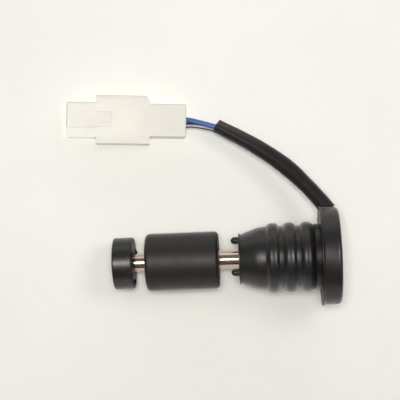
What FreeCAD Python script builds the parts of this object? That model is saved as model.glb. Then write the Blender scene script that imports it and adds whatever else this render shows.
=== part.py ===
"""Fuel level sender: ribbed rubber tank plug, stem with a reed switch, sliding magnet float, short lead.

Millimetres. +Z runs up along the stem, and the origin is the middle of the flange's underside, which rests
on the tank. The lead leaves the flange's rim on the -X side and ends in a two-way connector pair.
"""

import FreeCAD, Part
import math
import os

from FreeCAD import Vector

# Seal plug: flange, neck, ribs and cone
flange_d = 37.1
flange_t = 7.25
flange_edge_r = 1.5
rim_lip = 0.45
rim_lip_t = 0.35
rim_lip_slope = 0.55
neck_d = 24.8
neck_len = 2.0
top_slope = 30.0
rib_crest_d = 26.6
rib_root_d = 24.1
rib_land = 0.6
rib_valley = 0.6
rib_crest_r = 2.4
rib_pitch = 6.4
rib_count = 3
first_crest_drop = 5.2
body_len = 2.6
cone_len = 6.7
cone_end_d = 18.75
shoulder_d = 23.7
shoulder_r = 12.0
end_lip = 0.45
end_lip_t = 0.5

# Stand-off pips that keep the float off the plug and off the stop
pip_count = 3
pip_d = 2.7
pip_len = 3.0
pip_root = 0.5
pip_dome_share = 0.8
pip_ring_r = 7.3
pip_turn = 190.4
stop_pip_d = 2.4
stop_pip_len = 0.6
stop_pip_turn = 0.0

# Stem and the ring that anchors it in the rubber
stem_d = 7.0
stem_wall = 0.5
stem_end_wall = 0.8
stem_top = -2.0
collar_d = 13.0
collar_t = 1.6
collar_drop = 6.0
potting_len = 4.0

# Float, magnet and end stop
float_d = 22.1
float_len = 27.85
float_edge_r = 1.6
float_gap_above = 4.85
float_clear = 0.3
magnet_d = 15.0
magnet_t = 5.8
magnet_bore_d = 8.4
magnet_inset = 0.2
stop_gap_below = 4.9
stop_d = 19.8
stop_t = 7.5
stop_edge_r = 0.6
stop_floor = 1.6

# Reed switch, inside the stem and to one side of its axis
reed_offset = 1.3
reed_centre_above_stop = 6.6
glass_d = 2.2
glass_len = 14.0
glass_wall = 0.3
glass_cap = 1.4
reed_lead_d = 0.6
upper_lead_len = 5.0
lower_lead_len = 3.6
blade_w = 1.1
blade_t = 0.25
blade_gap = 0.15
blade_overlap = 1.6
insulator_d = 2.7
insulator_clear = 0.1
insulator_over = 0.8

# Inner wires and their joints
inner_wire_d = 1.1
inner_bend_r = 2.6
crimp_wall = 0.35
crimp_len = 4.0
crimp_clear = 0.02
splice_d = 2.4
splice_len = 5.2
splice_grip = 2.2

# Lead: wires, sleeve and its outlet in the rim
wire_d = 2.0
wire_offset = 1.3
sleeve_d = 6.2
sleeve_wall = 0.6
outlet_clear = 0.15
channel_clear = 0.3
lead_azimuth = 7.5
bend_share = 0.45

# Route of the lead in its own plane: distance from the stem's axis, and height
wire_start = [(8.4, 5.3), (15.6, 5.3)]
sleeve_start = (17.45, 3.95)
shared_route = [(21.3, 1.1), (26.2, -2.95), (34.75, -10.9), (42.75, -21.45), (48.5, -31.0), (52.3, -37.9)]
# Beyond the sleeve the wires cross from side by side to one above the other: distance, side, height
blue_free = [(53.0, 1.0, -42.0), (54.75, 0.7, -47.3)]
black_free = [(51.9, -1.05, -41.5), (53.0, -0.85, -46.6)]

# Connector pair: place and lean of its axis
entry_radius = 54.6
entry_height = -49.95
connector_pitch = 6.5
connector_yaw = 3.0

# Tab housing
rear_w = 13.1
rear_h = 9.5
rear_len = 14.1
shroud_w = 18.7
shroud_h = 12.0
shroud_len = 20.6
shroud_floor = 2.0
housing_edge = 0.5
shroud_corner = 1.4
well_w = 7.8
well_h = 3.4
well_depth = 6.5
terminal_pitch = 4.6
cavity_w = 3.3
wire_mouth = 1.05
wire_mouth_drop = 0.3
wire_settle = 2.1

# Tab terminals
barrel_d = 3.0
barrel_len = 3.2
barrel_gap = 0.1
box_w = 2.6
box_h = 1.8
tab_w = 2.3
tab_t = 0.64
tab_len = 12.0
tab_slot_clear = 0.1

# Socket housing that plugs into the shroud
socket_w = 13.7
socket_h = 8.6
socket_out = 11.5
socket_nose_gap = 1.3
socket_clear = 0.3
socket_cavity_w = 3.3
socket_cavity_h = 2.6
ledge_w = 3.85
ledge_drop = 1.2
ledge_back = 0.5
rail_w = 5.5
rail_rise = 1.3
rail_in = 6.0
rail_out = 4.3
rail_clear = 0.3
rail_slot_w = 0.5
rail_slot_depth = 0.7
rail_slot_side = 1.45
rail_slot_len = 5.2

# Two levels closer than this count as one
same_level = 0.01

# Levels along the stem, worked out from the sizes above
rib_half = rib_pitch / 2
last_crest = -(first_crest_drop + (rib_count - 1) * rib_pitch)
shoulder_z = last_crest - rib_half - body_len
cone_end_z = shoulder_z - cone_len
end_face_z = cone_end_z - end_lip_t
float_top = end_face_z - pip_len - float_gap_above
float_bottom = float_top - float_len
stop_top = float_bottom - stop_gap_below
stop_bottom = stop_top - stop_t
stem_bottom = stop_bottom + stop_floor
stem_bore_d = stem_d - 2 * stem_wall
lead_level = wire_start[0][1]
reed_z = stop_top + reed_centre_above_stop
sleeve_bore_d = sleeve_d - 2 * sleeve_wall
glass_top = reed_z + glass_len / 2
glass_bottom = reed_z - glass_len / 2
shroud_top = -rear_len
shroud_mouth = shroud_top - shroud_len
cavity_floor = shroud_top - shroud_floor

# The lead's plane is turned about the stem, so that its local X points out along the lead
lead_turn = FreeCAD.Placement(Vector(0, 0, 0), FreeCAD.Rotation(Vector(0, 0, 1), 180 - lead_azimuth))


def connector_placement():
    """Place of the connector: local Z points back to the wire entry, X across it and Y out of its face."""
    pitch = math.radians(connector_pitch)
    yaw = math.radians(connector_yaw)
    ahead = Vector(-math.sin(yaw) * math.cos(pitch), -math.sin(pitch), -math.cos(yaw) * math.cos(pitch))
    front = Vector(0, -1, 0)
    out = (front - ahead * front.dot(ahead)).normalize()
    across = ahead.cross(out)
    entry = lead_turn.multVec(Vector(entry_radius, 0, entry_height))
    return FreeCAD.Placement(entry, FreeCAD.Rotation(across, out, ahead * -1, "ZYX"))


connector = connector_placement()


def moved(shape, placement):
    """A copy of the shape with the placement worked into its geometry."""
    return shape.transformed(placement.toMatrix(), True)


def profile_face(edges):
    """Flat face inside a closed chain of edges."""
    return Part.Face(Part.Wire(Part.__sortEdges__(edges)))


def line(a, b):
    """Straight edge between two points."""
    return Part.LineSegment(a, b).toShape()


def arc(a, b, c):
    """Circular edge from a through b to c."""
    return Part.Arc(a, b, c).toShape()


def polyline(points):
    """Straight edges through the points in turn."""
    return [line(a, b) for a, b in zip(points, points[1:])]


def turned(edges):
    """Solid of revolution about the stem's axis."""
    return profile_face(edges).revolve(Vector(0, 0, 0), Vector(0, 0, 1), 360)


def rod(diameter, bottom, top, x=0.0, y=0.0):
    """Upright round bar between two levels."""
    return Part.makeCylinder(diameter / 2, top - bottom, Vector(x, y, bottom), Vector(0, 0, 1))


def block(width, depth, bottom, top, x=0.0, y=0.0):
    """Upright box centred on x and y, between two levels."""
    return Part.makeBox(width, depth, top - bottom, Vector(x - width / 2, y - depth / 2, bottom))


def on_circle(radius, degrees, z):
    """Point on a circle about the stem's axis."""
    angle = math.radians(degrees)
    return Vector(radius * math.cos(angle), radius * math.sin(angle), z)


def soft_path(points):
    """Straight runs joined by tangent arcs, each as large as its two runs allow, with the arcs' radii."""
    edges = []
    radii = []
    start = points[0]
    for before, corner, after in zip(points, points[1:], points[2:]):
        arriving = (corner - before).normalize()
        leaving = (after - corner).normalize()
        half_turn = arriving.getAngle(leaving) / 2
        tangent = bend_share * min((corner - before).Length, (after - corner).Length)
        radius = tangent / math.tan(half_turn)
        inward = (leaving - arriving).normalize()
        crown = corner + inward * (radius / math.cos(half_turn) - radius)
        edges.append(line(start, corner - arriving * tangent))
        edges.append(arc(corner - arriving * tangent, crown, corner + leaving * tangent))
        radii.append(radius)
        start = corner + leaving * tangent
    edges.append(line(start, points[-1]))
    return Part.Wire(edges), radii


def rounded_corner(before, corner, after, radius):
    """Two straight edges with a tangent arc in place of the corner between them."""
    arriving = (corner - before).normalize()
    leaving = (after - corner).normalize()
    half_turn = arriving.getAngle(leaving) / 2
    tangent = radius * math.tan(half_turn)
    crown = corner + (leaving - arriving).normalize() * (radius / math.cos(half_turn) - radius)
    arc_start = corner - arriving * tangent
    arc_end = corner + leaving * tangent
    return [line(before, arc_start), arc(arc_start, crown, arc_end), line(arc_end, after)]


def tube_along(path, diameter):
    """Round bar swept along a path."""
    first = path.OrderedEdges[0]
    start = first.valueAt(first.FirstParameter)
    heading = first.tangentAt(first.FirstParameter)
    section = Part.Wire([Part.Circle(start, heading, diameter / 2).toShape()])
    return path.makePipeShell([section], True, False)


def crest_point(land_z, direction, angle):
    """Point of a rib's crest arc at an angle from its top, above or below the land that ends at land_z."""
    drop = rib_crest_r * (1 - math.cos(angle))
    return Vector(rib_crest_d / 2 - drop, 0, land_z + direction * rib_crest_r * math.sin(angle))


def rib_flank(crest_z, direction):
    """Edges from a rib's land to the middle of its valley, with crest and root arcs on one tangent.

    direction is -1 for the flank below the crest and +1 for the one above it.
    """
    depth = (rib_crest_d - rib_root_d) / 2
    run = rib_half - rib_land / 2 - rib_valley / 2
    lean = 2 * math.atan(depth / run)
    root_r = run / math.sin(lean) - rib_crest_r
    root = rib_root_d / 2
    land_z = crest_z + direction * rib_land / 2
    valley_z = crest_z + direction * rib_half
    root_z = valley_z - direction * rib_valley / 2

    def on_root(angle):
        """Point of the root arc at an angle from its bottom."""
        rise = root_r * (1 - math.cos(angle))
        return Vector(root + rise, 0, root_z - direction * root_r * math.sin(angle))

    crest_arc = [crest_point(land_z, direction, angle) for angle in (0, lean / 2, lean)]
    return [
        arc(*crest_arc),
        arc(on_root(lean), on_root(lean / 2), on_root(0)),
        line(on_root(0), Vector(root, 0, valley_z)),
    ]


def top_flank():
    """Edges of the top rib's upper side: crest arc, straight slope inwards and the step under the neck."""
    lean = math.radians(top_slope)
    land_top = -first_crest_drop + rib_land / 2
    crest_arc = [crest_point(land_top, 1, angle) for angle in (0, lean / 2, lean)]
    slope_start = crest_arc[-1]
    step_r = slope_start.x - (-neck_len - slope_start.z) * math.tan(lean)
    slope_end = Vector(step_r, 0, -neck_len)
    return [
        arc(*crest_arc),
        line(slope_start, slope_end),
        line(slope_end, Vector(neck_d / 2, 0, -neck_len)),
    ]


def plug_outline():
    """Edges of the seal plug's outside, from the end face's bore up to the middle of its top."""
    root = rib_root_d / 2
    crest = rib_crest_d / 2
    neck = neck_d / 2
    rim = flange_d / 2
    edges = polyline([
        Vector(stem_d / 2, 0, end_face_z),
        Vector(cone_end_d / 2 + end_lip, 0, end_face_z),
        Vector(cone_end_d / 2 + end_lip, 0, cone_end_z),
        Vector(cone_end_d / 2, 0, cone_end_z),
    ])
    edges += rounded_corner(
        Vector(cone_end_d / 2, 0, cone_end_z),
        Vector(shoulder_d / 2, 0, shoulder_z),
        Vector(root, 0, last_crest - rib_half),
        shoulder_r,
    )
    for index in range(rib_count):
        crest_z = last_crest + index * rib_pitch
        land_bottom = crest_z - rib_land / 2
        edges += rib_flank(crest_z, -1)
        edges.append(line(Vector(crest, 0, land_bottom), Vector(crest, 0, land_bottom + rib_land)))
        if index < rib_count - 1:
            edges += rib_flank(crest_z, 1)

    edges += top_flank()
    edges += polyline([
        Vector(neck, 0, -neck_len),
        Vector(neck, 0, 0),
        Vector(rim + rim_lip, 0, 0),
        Vector(rim + rim_lip, 0, rim_lip_t),
        Vector(rim, 0, rim_lip_t + rim_lip_slope),
        Vector(rim, 0, flange_t - flange_edge_r),
    ])
    bulge = flange_edge_r * (1 - math.sqrt(0.5))
    edges.append(arc(
        Vector(rim, 0, flange_t - flange_edge_r),
        Vector(rim - bulge, 0, flange_t - bulge),
        Vector(rim - flange_edge_r, 0, flange_t),
    ))
    edges.append(line(Vector(rim - flange_edge_r, 0, flange_t), Vector(0, 0, flange_t)))
    return edges


def plug_inside():
    """Edges of the seal plug's inside, around the stem and its collar, from the top to the end face."""
    collar_top = stem_top - collar_drop
    return polyline([
        Vector(0, 0, flange_t),
        Vector(0, 0, stem_top),
        Vector(stem_d / 2, 0, stem_top),
        Vector(stem_d / 2, 0, collar_top),
        Vector(collar_d / 2, 0, collar_top),
        Vector(collar_d / 2, 0, collar_top - collar_t),
        Vector(stem_d / 2, 0, collar_top - collar_t),
        Vector(stem_d / 2, 0, end_face_z),
    ])


def domed_pip(diameter, length, place, down):
    """Round stand-off with a domed tip, rooted a little inside the face that carries it."""
    radius = diameter / 2
    dome = min(radius, length * pip_dome_share)
    tip = -length if down else length
    sign = -1 if down else 1
    edges = polyline([
        Vector(0, 0, tip),
        Vector(0, 0, -sign * pip_root),
        Vector(radius, 0, -sign * pip_root),
        Vector(radius, 0, tip - sign * dome),
    ])
    shoulder = Vector(radius * math.sqrt(0.5), 0, tip - sign * dome * (1 - math.sqrt(0.5)))
    if dome < radius:
        edges.append(line(Vector(radius, 0, tip - sign * dome), Vector(radius - dome, 0, tip)))
        edges.append(line(Vector(radius - dome, 0, tip), Vector(0, 0, tip)))
    else:
        edges.append(arc(Vector(radius, 0, tip - sign * dome), shoulder, Vector(0, 0, tip)))
    return moved(turned(edges), FreeCAD.Placement(place, FreeCAD.Rotation()))


def outlet_heading():
    """Direction in which the sleeve leaves the rim, in the lead's plane."""
    return Vector(shared_route[0][0] - sleeve_start[0], 0, shared_route[0][1] - sleeve_start[1]).normalize()


def lead_passage():
    """Hollow in the rubber for the inner wires, the splices and the sleeve's end, in the lead's plane."""
    heading = outlet_heading()
    across = Vector(-heading.z, 0, heading.x)
    half_high = wire_d / 2 + channel_clear
    half_wide = wire_offset + wire_d / 2 + channel_clear
    roof = lead_level + half_high
    floor = lead_level - splice_d / 2 - channel_clear
    well = inner_wire_d / 2 + channel_clear
    seat = Vector(sleeve_start[0], -half_wide, sleeve_start[1])
    bend = wire_start[1][0]
    corners = [
        Vector(-well, -half_wide, stem_top),
        Vector(-well, -half_wide, roof),
        Vector(bend + channel_clear, -half_wide, roof),
        seat + across * half_high,
        seat - across * half_high,
        Vector(bend - half_high, -half_wide, floor),
        Vector(inner_bend_r, -half_wide, floor),
        Vector(well, -half_wide, floor - inner_bend_r),
        Vector(well, -half_wide, stem_top),
        Vector(-well, -half_wide, stem_top),
    ]
    channel = profile_face(polyline(corners)).extrude(Vector(0, 2 * half_wide, 0))
    mouth = Part.makeCylinder(
        sleeve_d / 2 + outlet_clear,
        flange_d,
        Vector(sleeve_start[0], 0, sleeve_start[1]),
        heading,
    )
    return channel.fuse(mouth)


def seal_plug():
    """Rubber plug with the lead's passage, the stem's hole and the stand-off pips."""
    plug = turned(plug_outline() + plug_inside())
    for index in range(pip_count):
        place = on_circle(pip_ring_r, pip_turn + index * 360 / pip_count, end_face_z)
        plug = plug.fuse(domed_pip(pip_d, pip_len, place, True))
    return plug.cut(moved(lead_passage(), lead_turn)).removeSplitter()


def stem_tube():
    """Metal tube, closed at its lower end."""
    return rod(stem_d, stem_bottom, stem_top).cut(rod(stem_bore_d, stem_bottom + stem_end_wall, stem_top))


def stem_collar():
    """Ring on the stem, moulded into the rubber."""
    top = stem_top - collar_drop
    return rod(collar_d, top - collar_t, top).cut(rod(stem_d, top - collar_t, top))


def stem_potting():
    """Plug of sealing compound in the stem's mouth, with a hole for each inner wire."""
    plug = rod(stem_bore_d, stem_top - potting_len, stem_top)
    for side in (-reed_offset, reed_offset):
        plug = plug.cut(rod(inner_wire_d + 2 * crimp_clear, stem_top - potting_len, stem_top, 0, side))
    return moved(plug, lead_turn)


def float_body():
    """Float with rounded edges, a running bore and a seat for the magnet in its lower end."""
    radius = float_d / 2
    bore = stem_d / 2 + float_clear
    seat = float_bottom + magnet_t + magnet_inset
    bulge = float_edge_r * (1 - math.sqrt(0.5))
    edges = polyline([
        Vector(radius, 0, float_bottom + float_edge_r),
        Vector(radius, 0, float_top - float_edge_r),
    ])
    edges.append(arc(
        Vector(radius, 0, float_top - float_edge_r),
        Vector(radius - bulge, 0, float_top - bulge),
        Vector(radius - float_edge_r, 0, float_top),
    ))
    edges += polyline([
        Vector(radius - float_edge_r, 0, float_top),
        Vector(bore, 0, float_top),
        Vector(bore, 0, seat),
        Vector(magnet_d / 2, 0, seat),
        Vector(magnet_d / 2, 0, float_bottom),
        Vector(radius - float_edge_r, 0, float_bottom),
    ])
    edges.append(arc(
        Vector(radius - float_edge_r, 0, float_bottom),
        Vector(radius - bulge, 0, float_bottom + bulge),
        Vector(radius, 0, float_bottom + float_edge_r),
    ))
    return turned(edges)


def ring_magnet():
    """Ring magnet, bonded in the float's seat."""
    bottom = float_bottom + magnet_inset
    return rod(magnet_d, bottom, bottom + magnet_t).cut(rod(magnet_bore_d, bottom, bottom + magnet_t))


def end_stop():
    """Disc pressed on the stem's end, with short pips that meet the float."""
    disc = rod(stop_d, stop_bottom, stop_top)
    rims = [edge for edge in disc.Edges if edge.Closed]
    disc = disc.makeFillet(stop_edge_r, rims)
    disc = disc.cut(rod(stem_d, stem_bottom, stop_top))
    for index in range(pip_count):
        place = on_circle(pip_ring_r, stop_pip_turn + index * 360 / pip_count, stop_top)
        disc = disc.fuse(domed_pip(stop_pip_d, stop_pip_len, place, False))
    return disc.removeSplitter()


def reed_glass():
    """Glass capsule, open inside and drawn in around the leads at both ends."""
    outer = glass_d / 2
    inner = outer - glass_wall
    lead = reed_lead_d / 2 + crimp_clear
    taper = glass_cap / 2
    capsule = turned(polyline([
        Vector(lead, 0, glass_bottom),
        Vector(outer - glass_wall, 0, glass_bottom),
        Vector(outer, 0, glass_bottom + taper),
        Vector(outer, 0, glass_top - taper),
        Vector(outer - glass_wall, 0, glass_top),
        Vector(lead, 0, glass_top),
        Vector(lead, 0, glass_top - glass_cap),
        Vector(inner, 0, glass_top - glass_cap - taper),
        Vector(inner, 0, glass_bottom + glass_cap + taper),
        Vector(lead, 0, glass_bottom + glass_cap),
        Vector(lead, 0, glass_bottom),
    ]))
    capsule.translate(Vector(0, -reed_offset, 0))
    return moved(capsule, lead_turn)


def reed_strip(sign, lead_len):
    """One reed: a round lead outside the glass, flattened to a blade inside it."""
    glass_end = reed_z + sign * glass_len / 2
    root = glass_end - sign * glass_cap * 1.5
    lead_end = glass_end + sign * lead_len
    tip = reed_z - sign * blade_overlap / 2
    knee = root - sign * reed_lead_d / 2
    lead = rod(reed_lead_d, min(knee, lead_end), max(knee, lead_end), 0, -reed_offset)
    side = sign * (blade_gap + blade_t) / 2
    blade = block(blade_w, blade_t, min(tip, root), max(tip, root), 0, -reed_offset + side)
    return moved(lead.fuse(blade).removeSplitter(), lead_turn)


def reed_insulator():
    """Tube that keeps the capsule off the metal stem."""
    bottom = glass_bottom - insulator_over
    top = glass_top + insulator_over
    bore = glass_d + 2 * insulator_clear
    tube = rod(insulator_d, bottom, top, 0, -reed_offset).cut(rod(bore, bottom, top, 0, -reed_offset))
    return moved(tube, lead_turn)


def inner_wire(side, bottom):
    """Thin wire from its splice in the flange, round a bend and down the stem."""
    out = wire_start[0][0] - splice_len + 2 * splice_grip
    shoulder = inner_bend_r * (1 - math.sqrt(0.5))
    path = Part.Wire([
        line(Vector(out, side, lead_level), Vector(inner_bend_r, side, lead_level)),
        arc(
            Vector(inner_bend_r, side, lead_level),
            Vector(shoulder, side, lead_level - shoulder),
            Vector(0, side, lead_level - inner_bend_r),
        ),
        line(Vector(0, side, lead_level - inner_bend_r), Vector(0, side, bottom)),
    ])
    return moved(tube_along(path, inner_wire_d), lead_turn)


def wire_splice(side):
    """Crimp barrel that joins a lead wire to an inner wire."""
    outer_end = wire_start[0][0] + splice_grip
    heading = Vector(1, 0, 0)
    inner_end = Vector(outer_end - splice_len, side, lead_level)
    barrel = Part.makeCylinder(splice_d / 2, splice_len, inner_end, heading)
    thin = Part.makeCylinder(inner_wire_d / 2 + crimp_clear, splice_grip, inner_end, heading)
    thick = Part.makeCylinder(
        wire_d / 2 + crimp_clear,
        splice_grip,
        Vector(outer_end - splice_grip, side, lead_level),
        heading,
    )
    return moved(barrel.cut(thin).cut(thick), lead_turn)


def upper_crimp():
    """Barrel in line with the capsule that joins the feed wire and the upper reed."""
    bottom = glass_top + upper_lead_len - crimp_len / 2
    barrel = rod(inner_wire_d + 2 * crimp_wall, bottom, bottom + crimp_len, 0, -reed_offset)
    middle = bottom + crimp_len / 2
    lead = rod(reed_lead_d + 2 * crimp_clear, bottom, middle, 0, -reed_offset)
    wire = rod(inner_wire_d + 2 * crimp_clear, middle, bottom + crimp_len, 0, -reed_offset)
    return moved(barrel.cut(lead).cut(wire), lead_turn)


def lower_crimp():
    """Bridge across the stem that joins the return wire and the lower reed."""
    top = glass_bottom - lower_lead_len + crimp_len / 2
    bottom = glass_bottom - lower_lead_len
    width = inner_wire_d + 2 * crimp_wall
    bridge = block(width, 2 * reed_offset, bottom, top)
    for side in (-reed_offset, reed_offset):
        bridge = bridge.fuse(rod(width, bottom, top, 0, side))
    bridge = bridge.removeSplitter()
    bridge = bridge.cut(rod(reed_lead_d + 2 * crimp_clear, bottom, top, 0, -reed_offset))
    bridge = bridge.cut(rod(inner_wire_d + 2 * crimp_clear, bottom, top, 0, reed_offset))
    return moved(bridge, lead_turn)


def in_lead(point, side):
    """Point of the lead's plane, moved to one side of it, in the part's frame."""
    return lead_turn.multVec(Vector(point[0], side, point[1]))


def lead_wire_points(sign, free):
    """Route of one lead wire from its splice to its terminal's barrel."""
    points = [in_lead(point, sign * wire_offset) for point in wire_start + shared_route]
    points += [lead_turn.multVec(Vector(*point)) for point in free]
    crimp_x = sign * terminal_pitch / 2
    points.append(connector.multVec(Vector(sign * wire_mouth - wire_mouth_drop, 0, 0)))
    points.append(connector.multVec(Vector(crimp_x, 0, wire_settle - well_depth)))
    points.append(connector.multVec(Vector(crimp_x, 0, -well_depth - barrel_gap - barrel_len)))
    return points


def lead_wire(name, sign, free):
    """Insulated wire of the lead."""
    path, radii = soft_path(lead_wire_points(sign, free))
    wire = tube_along(path, wire_d)
    report_tube(name, wire, path, math.pi * wire_d ** 2 / 4, radii)
    return wire


def lead_sleeve():
    """Soft sleeve over both wires, from its seat in the rim."""
    path, radii = soft_path([in_lead(point, 0) for point in [sleeve_start] + shared_route])
    sleeve = tube_along(path, sleeve_d).cut(tube_along(path, sleeve_bore_d))
    section = math.pi * (sleeve_d ** 2 - sleeve_bore_d ** 2) / 4
    report_tube("lead_sleeve", sleeve, path, section, radii)
    return sleeve


def report_tube(name, solid, path, section, radii):
    """Print a tube's length, its bends and how its volume agrees with its section."""
    bends = ", ".join(f"{radius:.1f}" for radius in radii)
    ratio = solid.Volume / (section * path.Length)
    print(f"{name}: length {path.Length:.1f}, volume ratio {ratio:.4f}, bend radii {bends}")


def tab_housing():
    """Housing with a block for the wires behind and a deep shroud around the tabs."""
    rear = block(rear_w, rear_h, shroud_top - shroud_floor / 2, 0)
    rear = rear.makeChamfer(housing_edge, [edge for edge in rear.Edges if edge.CenterOfMass.z > shroud_top])
    shroud = block(shroud_w, shroud_h, shroud_mouth, shroud_top)
    middle = (shroud_mouth + shroud_top) / 2
    upright = [edge for edge in shroud.Edges if abs(edge.CenterOfMass.z - middle) < same_level]
    shroud = shroud.makeFillet(housing_edge, upright)
    corner = profile_face(polyline([
        Vector(shroud_w / 2 - shroud_corner, -shroud_h, shroud_top),
        Vector(shroud_w / 2, -shroud_h, shroud_top - shroud_corner),
        Vector(shroud_w / 2, -shroud_h, shroud_top),
        Vector(shroud_w / 2 - shroud_corner, -shroud_h, shroud_top),
    ])).extrude(Vector(0, 2 * shroud_h, 0))
    housing = rear.fuse(shroud.cut(corner)).removeSplitter()
    housing = housing.cut(block(
        socket_w + 2 * socket_clear,
        socket_h + 2 * socket_clear,
        shroud_mouth,
        cavity_floor,
    ))
    housing = housing.cut(block(
        rail_w + 2 * rail_clear,
        shroud_h,
        shroud_mouth,
        shroud_mouth + rail_in + rail_clear,
        0,
        shroud_h / 2,
    ))
    housing = housing.cut(block(well_w, well_h, -well_depth, 0))
    for side in (-terminal_pitch / 2, terminal_pitch / 2):
        housing = housing.cut(block(cavity_w, cavity_w, shroud_top, -well_depth, side))
        housing = housing.cut(block(
            tab_w + 2 * tab_slot_clear,
            tab_t + 2 * tab_slot_clear,
            cavity_floor,
            shroud_top,
            side,
        ))
    return moved(housing, connector)


def tab_terminal(sign):
    """Terminal with a barrel around the wire's end, a folded body and a flat tab."""
    x = sign * terminal_pitch / 2
    barrel_top = -well_depth - barrel_gap
    barrel_bottom = barrel_top - barrel_len
    body_bottom = shroud_top
    barrel = rod(barrel_d, barrel_bottom, barrel_top, x)
    barrel = barrel.cut(rod(wire_d + 2 * crimp_clear, barrel_bottom, barrel_top, x))
    body = block(box_w, box_h, body_bottom, barrel_bottom, x)
    tab = block(tab_w, tab_t, body_bottom - tab_len, body_bottom, x)
    tip_z = body_bottom - tab_len
    tip = [edge for edge in tab.Edges if abs(edge.CenterOfMass.z - tip_z) < same_level]
    tab = tab.makeChamfer(tab_t / 4, tip)
    return moved(barrel.fuse(body).fuse(tab).removeSplitter(), connector)


def socket_housing():
    """Mating housing with two open cavities, a guide rail in the shroud's notch and a stepped end."""
    nose = cavity_floor - socket_nose_gap
    back = shroud_mouth - socket_out
    body = block(socket_w, socket_h, back, nose)
    body = body.makeChamfer(housing_edge, [edge for edge in body.Edges])
    ledge_top = shroud_mouth - ledge_back
    body = body.cut(block(
        2 * ledge_w,
        2 * ledge_drop,
        back,
        ledge_top,
        -socket_w / 2,
        socket_h / 2,
    ))
    rail_top = shroud_mouth + rail_in
    rail_bottom = shroud_mouth - rail_out
    rail_rooted = rail_rise + housing_edge
    rail_y = socket_h / 2 - housing_edge + rail_rooted / 2
    rail = block(rail_w, rail_rooted, rail_bottom, rail_top, 0, rail_y)
    slot = block(
        rail_slot_w,
        2 * rail_slot_depth,
        rail_top - rail_slot_len,
        rail_top,
        -rail_slot_side,
        socket_h / 2 + rail_rise,
    )
    body = body.fuse(rail.cut(slot)).removeSplitter()
    for side in (-terminal_pitch / 2, terminal_pitch / 2):
        body = body.cut(block(socket_cavity_w, socket_cavity_h, back, nose, side))
    return moved(body, connector)


def all_parts():
    """Every piece of the sender, by name."""
    return {
        "seal_plug": seal_plug(),
        "stem_tube": stem_tube(),
        "stem_collar": stem_collar(),
        "stem_potting": stem_potting(),
        "float_body": float_body(),
        "ring_magnet": ring_magnet(),
        "end_stop": end_stop(),
        "reed_glass": reed_glass(),
        "upper_reed": reed_strip(1, upper_lead_len),
        "lower_reed": reed_strip(-1, lower_lead_len),
        "reed_insulator": reed_insulator(),
        "feed_wire": inner_wire(-reed_offset, glass_top + upper_lead_len),
        "return_wire": inner_wire(reed_offset, glass_bottom - lower_lead_len),
        "feed_splice": wire_splice(-reed_offset),
        "return_splice": wire_splice(reed_offset),
        "upper_crimp": upper_crimp(),
        "lower_crimp": lower_crimp(),
        "blue_wire": lead_wire("blue_wire", 1, blue_free),
        "black_wire": lead_wire("black_wire", -1, black_free),
        "lead_sleeve": lead_sleeve(),
        "tab_housing": tab_housing(),
        "blue_terminal": tab_terminal(1),
        "black_terminal": tab_terminal(-1),
        "socket_housing": socket_housing(),
    }


os.makedirs("parts", exist_ok=True)
for name, shape in all_parts().items():
    print(f"{name}: {len(shape.Solids)} solid, valid {shape.isValid()}, volume {shape.Volume:.1f}")
    shape.exportStep(f"parts/{name}.step")
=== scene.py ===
"""Fuel level sender: finishes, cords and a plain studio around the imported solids.

Metres, in the part's own frame: +Z runs up along the stem, the lead leaves the rim on the -X side, and
the sender lies with -Y towards the camera. Every piece stands where its solid does.
"""

import logging
import math
from dataclasses import dataclass, field
from enum import Enum
from typing import Any, Sequence

import bpy
from bpy.types import NodeSocket
from mathutils import Matrix, Vector


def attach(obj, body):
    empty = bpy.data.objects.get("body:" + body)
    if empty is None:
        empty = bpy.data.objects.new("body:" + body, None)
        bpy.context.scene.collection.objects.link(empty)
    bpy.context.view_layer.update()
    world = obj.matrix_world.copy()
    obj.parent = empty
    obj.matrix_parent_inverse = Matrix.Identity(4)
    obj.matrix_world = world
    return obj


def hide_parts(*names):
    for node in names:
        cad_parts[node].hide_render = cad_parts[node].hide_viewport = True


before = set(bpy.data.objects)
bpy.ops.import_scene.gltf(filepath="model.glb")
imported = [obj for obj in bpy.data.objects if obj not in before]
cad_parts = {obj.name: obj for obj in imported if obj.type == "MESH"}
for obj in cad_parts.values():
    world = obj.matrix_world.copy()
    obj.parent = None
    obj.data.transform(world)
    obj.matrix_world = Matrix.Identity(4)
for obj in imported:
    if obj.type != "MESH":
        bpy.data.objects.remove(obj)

Colour = tuple[float, float, float]
Point = tuple[float, float, float]

LEAD_BODY = "sender"
STEM_UP: Point = (0.0, 0.0, 1.0)
STEM_DOWN: Point = (0.0, 0.0, -1.0)

# Levels that several finishes share
PLAIN_GLOSS = 0.5
DUST_SPREAD = 0.3

# Fineness of new meshes and curves
SHARP_DEG = 40.0
SPLINE_ORDER = 3
SPLINE_STEPS = 14
BAR_STEPS = 8

# Tints of the lamps
LAMP_TINT: Colour = (1.0, 0.985, 0.96)
STRIP_TINT: Colour = (1.0, 0.95, 0.90)
DAY_TINT: Colour = (0.85, 0.95, 1.0)

log = logging.getLogger("level_sender")


class Slot(Enum):
    """Material slots of the sender's record."""

    RUBBER = "black_rubber"
    FOAM = "float_foam"
    STOP = "stop_plastic"
    STEM = "stem_metal"
    SLEEVE = "sleeve_vinyl"
    BLUE = "blue_insulation"
    BLACK = "black_insulation"
    NYLON = "natural_nylon"
    TERMINAL = "terminal_brass"
    COLLAR = "collar_brass"
    FERRITE = "ferrite"
    GLASS = "capsule_glass"
    REED = "reed_alloy"
    INSULATOR = "insulator_vinyl"
    INNER = "inner_insulation"
    CRIMP = "crimp_metal"
    POTTING = "potting_compound"


class Role(Enum):
    """What a lamp does: light surfaces softly, show as a highlight, both, or light the table alone."""

    SOFT = "soft"
    HIGHLIGHT = "highlight"
    PLAIN = "plain"
    TABLE = "table"


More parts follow.
